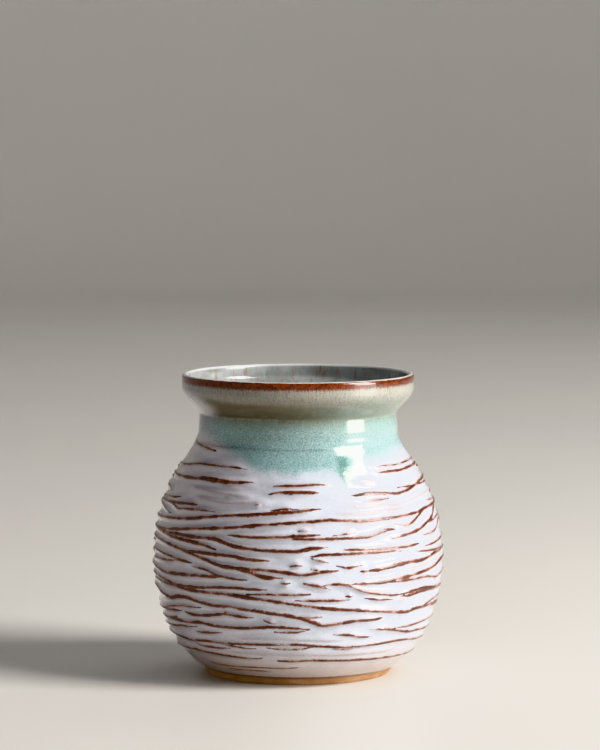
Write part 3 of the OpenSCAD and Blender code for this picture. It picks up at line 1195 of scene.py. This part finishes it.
class GlazeShop:
    """Makes each material, with the groups that they share built once."""

    def __init__(self) -> None:
        """Builds the shared groups."""
        self.border, self.white, self.celadon = border_group(), white_group(), celadon_group()
        self.iron, self.skin = iron_group(), skin_group()

    def start(self, name: str, **fixed: Any) -> tuple[bpy.types.Material, Graph, Any]:
        """Starts a material with a Principled shader.

        Args:
            name: The material's name.
            **fixed: Shader socket names, with _ for a space, and their values.

        Returns:
            The material, its graph and its shader's inputs.
        """
        made = bpy.data.materials.new(name)
        made.use_nodes = True
        made.node_tree.nodes.clear()
        g = Graph(made.node_tree)
        shader = g.node("ShaderNodeBsdfPrincipled",
                        {key.replace("_", " "): value for key, value in fixed.items()})
        g.feed(g.node("ShaderNodeOutputMaterial").inputs[0], shader.outputs[0])
        return made, g, shader.inputs

    def group(self, g: Graph, tree: bpy.types.NodeTree, **values: Any) -> Any:
        """Places a group in a material and gives its outputs."""
        return g.node("ShaderNodeGroup", values, node_tree=tree).outputs

    def finish(self, g: Graph, shader: Any, colour: Socket, skin: Any, bump: float) -> None:
        """Wires colour, roughness and bump into the shader.

        Args:
            g: The material's graph.
            shader: The shader's inputs.
            colour: The base colour.
            skin: The skin group's outputs.
            bump: Height of the unevenness in millimetres.
        """
        g.feed(shader["Base Color"], colour)
        g.feed(shader["Roughness"], skin["Roughness"])
        g.feed(shader["Normal"], g.bump(skin["Height"], 0.6, bump))

    def coat(self, look: CoatFinish) -> bpy.types.Material:
        """A material for an outer coat.

        Args:
            look: The finish; a carved piece carries the ridge attributes.

        Returns:
            The material.
        """
        made, g, shader = self.start(look.name, IOR=GLAZE_IOR, Coat_Weight=0.5,
                                     Coat_Roughness=0.05)
        bare, lift = COVERED, 0.0
        if look.carved:
            bare, lift = (g.node("ShaderNodeAttribute", attribute_name=name).outputs["Fac"]
                          for name in ("bare", "lift"))
        place, height, _ = place_in_mm(g)
        edge = self.group(g, self.border, Ragged=1.0)
        white = self.group(g, self.white, Lift=lift)["Colour"]
        green = self.group(g, self.celadon, Above=edge["Above"], Lift=lift)["Colour"]
        iron = self.group(g, self.iron, Bare=bare)
        crest = g.times(iron["Crest"], g.line(edge["Celadon"], -0.35, 1.0))
        colour = g.mix(edge["Celadon"], white, green)
        for mask in (crest, iron["Band"]):
            colour = g.mix(mask, colour, iron["Colour"])
        foot = g.math("ADD", height, g.times(g.noise(place, 0.5), 0.8))
        colour = g.stain(colour, FOOT_SEAM, g.step(foot, 5.3, 4.7), 0.85)
        # Painted highlight: a pale line along the very top of the lip.
        crown = g.math("ADD", height, g.times(g.noise(place, 0.4), 0.5))
        colour = g.mix(g.step(crown, 149.75, 150.1), colour, paint(*LIP_TOP_HIGHLIGHT))
        skin = self.group(g, self.skin, Gloss=look.gloss, Dry=crest, Grain=0.7)
        self.finish(g, shader, colour, skin, look.bump)
        return made

    def liner(self) -> bpy.types.Material:
        """The pale glaze inside, with brown runs under the lip.

        Returns:
            The material.
        """
        made, g, shader = self.start("liner_glaze_inside", IOR=GLAZE_IOR, Coat_Weight=0.2,
                                     Coat_Roughness=0.08)
        place, height, _ = place_in_mm(g)
        streak = g.noise(g.stretch(place, 1, 1, 0.16), 0.5, 5.0, 0.7)
        cloud, specks = g.noise(place, 0.06, 3.0), g.noise(place, 1.7, 2.0)
        tone = g.mix(g.step(cloud, 0.35, 0.65), paint(*LINER), paint(*GREY_LINER))
        tone = g.stain(tone, LINER_RUN, g.step(streak, 0.52, 0.7), g.step(height, 70, 140), 0.7)
        tone = g.stain(tone, LINER_WISP, g.step(streak, 0.46, 0.3), g.step(height, 90, 144), 0.6)
        tone = g.stain(tone, LINER_SPECK, g.step(specks, 0.64, 0.74), 0.4)
        tone = g.stain(tone, LINER_RIM, g.step(height, 148.6, 149.6), 0.6)
        skin = self.group(g, self.skin, Gloss=0.13, Grain=0.7)
        self.finish(g, shader, tone, skin, 0.12)
        return made

    def clay(self) -> bpy.types.Material:
        """Bare fired stoneware, gritty and marked by turning.

        Returns:
            The material.
        """
        made, g, shader = self.start("fired_stoneware", IOR=1.45)
        place, height, _ = place_in_mm(g)
        cloud = g.noise(g.stretch(place, 1, 1, 2), 0.12, 3.0)
        grit = g.noise(place, 1.6, 3.0, 0.7)
        tone = g.mix(g.step(cloud, 0.3, 0.7), paint(*CLAY), paint(*DARK_CLAY))
        tone = g.stain(tone, CLAY_GRIT, g.step(grit, 0.6, 0.72), 0.6)
        tone = g.stain(tone, CLAY_SAND, g.step(grit, 0.4, 0.3), 0.5)
        tone = g.stain(tone, CLAY_TOAST, g.step(height, 2.2, 3.6), 0.5)
        g.feed(shader["Base Color"], tone)
        g.feed(shader["Roughness"], g.math("MULTIPLY_ADD", grit, 0.2, 0.7, clamp=True))
        g.feed(shader["Normal"], g.bump(g.noise(place, 2.2, 4.0, 0.7), 0.7, 0.25))
        return made


# ---------------------------------------------------------------- sub-assemblies


@dataclass
class GlazedShell:
    """The four coats of glaze."""

    outline: Outline
    shop: GlazeShop
    lines: bpy.types.Object
    carver: bpy.types.NodeTree
    row_gap: float = 0.55
    back_gap: float = 5.0

    def shell(self, name: str, low: float, high: float) -> bpy.types.Object:
        """Turns a coat between two heights of the outline.

        Args:
            name: The piece's name.
            low: Height of its lower edge.
            high: Height of its upper edge.

        Returns:
            The object, ready for carving.
        """
        crest = self.between(self.outline.crest(self.row_gap), low, high)
        fine = self.outline.crest(0.25)
        near = [int(np.argmin(np.linalg.norm(fine - p, axis=1))) for p in crest]
        out = self.outline.outward(fine)[near]
        back = crest - self.outline.depth(crest[:, 1]) * out
        skip, edge = max(1, int(self.back_gap / self.row_gap)), len(crest)
        kept = sorted(set(range(0, edge, skip)) | {edge - 1})[::-1]
        profile = np.concatenate([crest, back[kept]])
        carve = np.concatenate([self.outline.share(crest[:, 1]), np.zeros(len(kept))])
        return Turned(name, profile, True, carve=carve, outward=np.concatenate([out, out[kept]]),
                      sharp=(0, edge - 1, edge, len(profile) - 1)).build()

    def between(self, path: np.ndarray, low: float, high: float) -> np.ndarray:
        """Cuts a path to a range of heights, with a point exactly at each end.

        Args:
            path: Points of radius and height.
            low: The lowest height.
            high: The highest.

        Returns:
            The points in the range.
        """
        ends = [[float(np.interp(z, path[:, 1], path[:, 0])), z] for z in (low, high)]
        inner = path[(path[:, 1] > low + 0.1) & (path[:, 1] < high - 0.1)]
        return np.concatenate([[ends[0]], inner, [ends[1]]])

    def carved(self, thing: bpy.types.Object, material: bpy.types.Material) -> bpy.types.Object:
        """Carves a coat and gives it its glaze.

        Args:
            thing: The turned coat.
            material: Its glaze.

        Returns:
            The carved coat.
        """
        run_tree(thing, self.carver, {
            "Ridge Lines": self.lines, "Depth": 1.7 * MM, "Reach": 4.2 * MM,
            "Ripple": 0.35 * MM, "Crispness": 1.6, "Seed": 3.0, "Glaze": material})
        return thing

    def white(self) -> bpy.types.Object:
        """The white coat on the carved belly.

        Returns:
            The object.
        """
        return self.carved(
            self.shell("white_coat", self.outline.bare_h, self.outline.border_z),
            self.shop.coat(CoatFinish("white_glaze_belly", 0.1, 0.1)))

    def celadon(self) -> bpy.types.Object:
        """The celadon coat on the shoulder, neck and collar.

        Returns:
            The object.
        """
        return self.carved(
            self.shell("celadon_coat", self.outline.border_z, self.outline.band_z),
            self.shop.coat(CoatFinish("celadon_glaze_neck", 0.07, 0.07)))

    def lip(self) -> bpy.types.Object:
        """The iron band round the lip.

        Returns:
            The object.
        """
        o = self.outline
        side = [[o.collar_r, z] for z in np.linspace(o.band_z, o.lip_centre[1], 4)]
        inner = np.array([[o.collar_r - o.coat, o.band_z], [o.collar_r - 0.6, o.lip_centre[1]]])
        outer = np.concatenate([side, o.lip(0, 90, 0, 0)])
        under = np.concatenate([inner, o.lip(0, 90, 0.6, 0.4)])[::-1]
        profile = np.concatenate([outer, under])
        thing = Turned("lip_band", profile, True,
                       sharp=(0, len(outer) - 1, len(outer), len(profile) - 1)).build()
        look = CoatFinish("iron_glaze_lip", 0.12, 0.08, carved=False)
        thing.data.materials.append(self.shop.coat(look))
        return thing

    def liner(self) -> bpy.types.Object:
        """The liner from the crest of the lip down over the floor.

        Returns:
            The object.
        """
        o = self.outline
        seen = np.concatenate([[[o.lip_centre[0], o.height]], o.lip(90, 180, 0, 0),
                               o.inside(0.0, 1.1)])
        hidden = np.concatenate([[[o.lip_centre[0], o.height - 0.4]],
                                 o.lip(90, 180, 0.4, o.liner), o.inside(o.liner, 4.0)])[::-1]
        start = len(hidden)
        soft = np.interp(seen[:, 1], [8.6, 14, 120, 140, 146], [0.5, 1, 1, 0.5, 0])
        into_clay = np.concatenate([np.zeros((start, 2)), -o.outward(seen)])
        thing = Turned("liner_coat", np.concatenate([hidden, seen]), False, segments=240,
                       carve=np.concatenate([np.zeros(start), soft]), outward=into_clay,
                       sharp=(start - 1, start)).build()
        run_tree(thing, throwing_tree(), {
            "Pitch": 8.5 * MM, "Depth": 0.35 * MM, "Flat": 0.0, "Wander": 0.5, "Seed": 5.0,
            "Finish": self.shop.liner()})
        return thing


@dataclass
class ClayPot:
    """The fired clay under the coats, bare at the foot ring and underneath."""

    outline: Outline
    shop: GlazeShop

    def build(self) -> bpy.types.Object:
        """Turns the clay, marks its base and sets its grains.

        Returns:
            The object.
        """
        o = self.outline
        inner_r = o.foot_r - o.ring_w
        step = inner_r - o.recess
        under = spaced(np.array([[0.0, o.recess], [step, o.recess]]), 0.7)
        ring = np.array([[inner_r - 1.2, 0.95], [inner_r, o.chamfer],
                         [inner_r + o.chamfer, 0.0], [o.foot_r - 2.0, 0.0],
                         [o.foot_r - o.chamfer, 0.0], [o.foot_r, o.chamfer]])
        crest = o.crest(1.5)
        wall = crest - o.depth(crest[:, 1]) * o.outward(crest)
        rise = np.array([[o.foot_r + 0.35 * k, o.chamfer + (o.bare_h - o.chamfer) * k / 4]
                         for k in (1, 2, 3)])
        profile = np.concatenate([under, ring, rise, wall, o.lip(0, 90, 0.6, 0.4),
                                  o.lip(90, 180, 0.4, o.liner), o.inside(o.liner, 3.0)])
        base = len(under)
        carve = np.zeros(len(profile))
        carve[:base] = np.interp(under[:, 0], [0, 3, step - 3, step], [0.4, 1, 1, 0])
        thing = Turned("clay_pot", profile, False, segments=240, carve=carve,
                       outward=np.tile([0.0, 1.0], (len(profile), 1)),
                       sharp=(base - 1, base + len(ring) + len(rise))).build()
        bare = thing.data.attributes.new("bare_clay", "FLOAT", "POINT")
        spots = np.array([v.co for v in thing.data.vertices]) / MM
        heights, radii = spots[:, 2], np.hypot(spots[:, 0], spots[:, 1])
        seen = ((heights > 0.4) & (heights < o.bare_h + 0.05) & (radii < o.foot_r + 1.6))
        bare.data.foreach_set("value", seen.astype(np.float32))
        clay = self.shop.clay()
        run_tree(thing, throwing_tree(), {
            "Pitch": 3.4 * MM, "Depth": 0.35 * MM, "Flat": 1.0, "Wander": 0.12, "Seed": 9.0,
            "Finish": clay})
        run_tree(thing, grog_tree(), {"Density": 90000.0, "Grain": 0.2 * MM, "Seed": 11,
                                      "Clay": clay})
        return thing


def hang(data: Any, spot: Vector, aim: Vector) -> bpy.types.Object:
    """Places a camera or a light at a spot, facing along aim.

    Args:
        data: The camera or light.
        spot: Where it stands, in metres.
        aim: The way that it faces.

    Returns:
        The object.
    """
    thing = bpy.data.objects.new(data.name, data)
    bpy.context.collection.objects.link(thing)
    thing.location = spot
    thing.rotation_euler = aim.to_track_quat("-Z", "Y").to_euler()
    return thing


@dataclass(frozen=True)
class SoftLight:
    """A rectangular soft light round the vase.

    Azimuth runs in degrees from the front towards the right, and rise from the floor up. Its
    distance and size are metres and its power watts. An outward one faces the backdrop.
    """

    name: str
    azimuth: float
    rise: float
    away: float
    size: tuple[float, float]
    power: float
    tint: Tint
    outward: bool = False

    def build(self) -> None:
        """Makes the light and hangs it."""
        made = bpy.data.lights.new(self.name, "AREA")
        made.shape, made.energy, made.color = "RECTANGLE", self.power, paint(*self.tint)[:3]
        made.size, made.size_y = self.size
        turn, up = math.radians(self.azimuth), math.radians(self.rise)
        way = Vector((math.sin(turn) * math.cos(up), -math.cos(turn) * math.cos(up),
                      math.sin(up)))
        hang(made, Vector((0, 0, 0.09)) + way * self.away, way if self.outward else -way)


DAYLIGHT = (255, 250, 244)
LIGHTS = (
    SoftLight("window_low", 70, 8.5, 2.0, (0.8, 0.56), 36, DAYLIGHT),
    SoftLight("window_high", 70, 38, 2.0, (0.8, 0.5), 50, DAYLIGHT),
    SoftLight("left_fill", -60, 30, 2.4, (1.8, 1.6), 1.0, (236, 240, 255)),
    SoftLight("back_fill", 150, 40, 2.4, (1.6, 1.2), 8, (255, 252, 246)),
    *(SoftLight(f"wall_wash_{azimuth}", azimuth, 42, 2.3, (2.0, 0.6), 6, (255, 253, 250), True)
      for azimuth in (0, 90, 180, 270)))


@dataclass
class Studio:
    """The camera, the pale floor and the soft lights."""

    distance: float = 1.79
    pitch: float = 4.92
    aim: tuple[float, float, float] = (0.001, 0.0, 0.1489)
    lens: float = 171.8
    sky: float = 0.21

    def camera(self) -> None:
        """Places the camera."""
        made = bpy.data.cameras.new("camera")
        made.lens, made.sensor_width = self.lens, 36.0
        tilt = math.radians(self.pitch)
        back = Vector((0, -math.cos(tilt), math.sin(tilt)))
        bpy.context.scene.camera = hang(made, Vector(self.aim) + back * self.distance, -back)

    def floor(self) -> None:
        """Lays the pale floor, which bends up into a wall all round."""
        flat, bend, top = 2.9, 1.1, 2.6
        curve = [(flat + bend * math.sin(a), bend * (1 - math.cos(a)))
                 for a in np.linspace(0, math.pi / 2, 14)]
        profile = np.array([(0.0, 0.0), (0.6, 0.0)] + curve + [(flat + bend, top)]) / MM
        thing = Turned("floor", profile[::-1], False, segments=96).build()
        made = bpy.data.materials.new("pale_floor")
        made.use_nodes = True
        g = Graph(made.node_tree)
        shader = made.node_tree.nodes["Principled BSDF"].inputs
        place = g.node("ShaderNodeTexCoord").outputs["Object"]
        tone = g.mix(g.noise(place, 3.0, 4.0), paint(222, 220, 216), paint(228, 226, 222))
        g.feed(shader["Base Color"], tone)
        g.feed(shader["Roughness"], 0.42)
        thing.data.materials.append(made)

    def dress(self) -> None:
        """Sets up the whole studio."""
        self.camera()
        self.floor()
        for light in LIGHTS:
            light.build()
        world = bpy.data.worlds.new("studio")
        bpy.context.scene.world = world
        world.use_nodes = True
        colour, strength = world.node_tree.nodes["Background"].inputs[:2]
        colour.default_value, strength.default_value = paint(214, 216, 220), self.sky
        bpy.context.scene.view_settings.view_transform = "Khronos PBR Neutral"


def join_body(thing: bpy.types.Object, node: str) -> None:
    """Fixes a finished piece to the vase's body in place of its plain solid.

    Args:
        thing: The piece.
        node: The solid that it stands for.
    """
    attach(thing, "root")
    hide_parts(node)
    thing.data.calc_loop_triangles()
    log.info("%s: %d triangles, in place of %s", thing.name,
             len(thing.data.loop_triangles), node)


def main() -> None:
    """Builds the vase and its studio."""
    logging.basicConfig(level=logging.INFO, format="%(name)s: %(message)s", force=True)
    Studio().dress()
    outline = Outline()
    net = RidgeNet(outline, front_ridges() + neck_ridges() + back_ridges(random.Random(8)))
    lines = net.build()
    log.info("ridge lines: %d on %d layers", len(net.ridges), net.layers)
    shop = GlazeShop()
    glazes = GlazedShell(outline, shop, lines, carve_tree(net.layers))
    join_body(glazes.white(), "white_glaze")
    join_body(glazes.celadon(), "celadon_glaze")
    join_body(glazes.lip(), "lip_glaze")
    join_body(glazes.liner(), "liner_glaze")
    join_body(ClayPot(outline, shop).build(), "clay_body")
    bpy.data.objects.remove(lines, do_unlink=True)


if __name__ == "__main__":
    main()
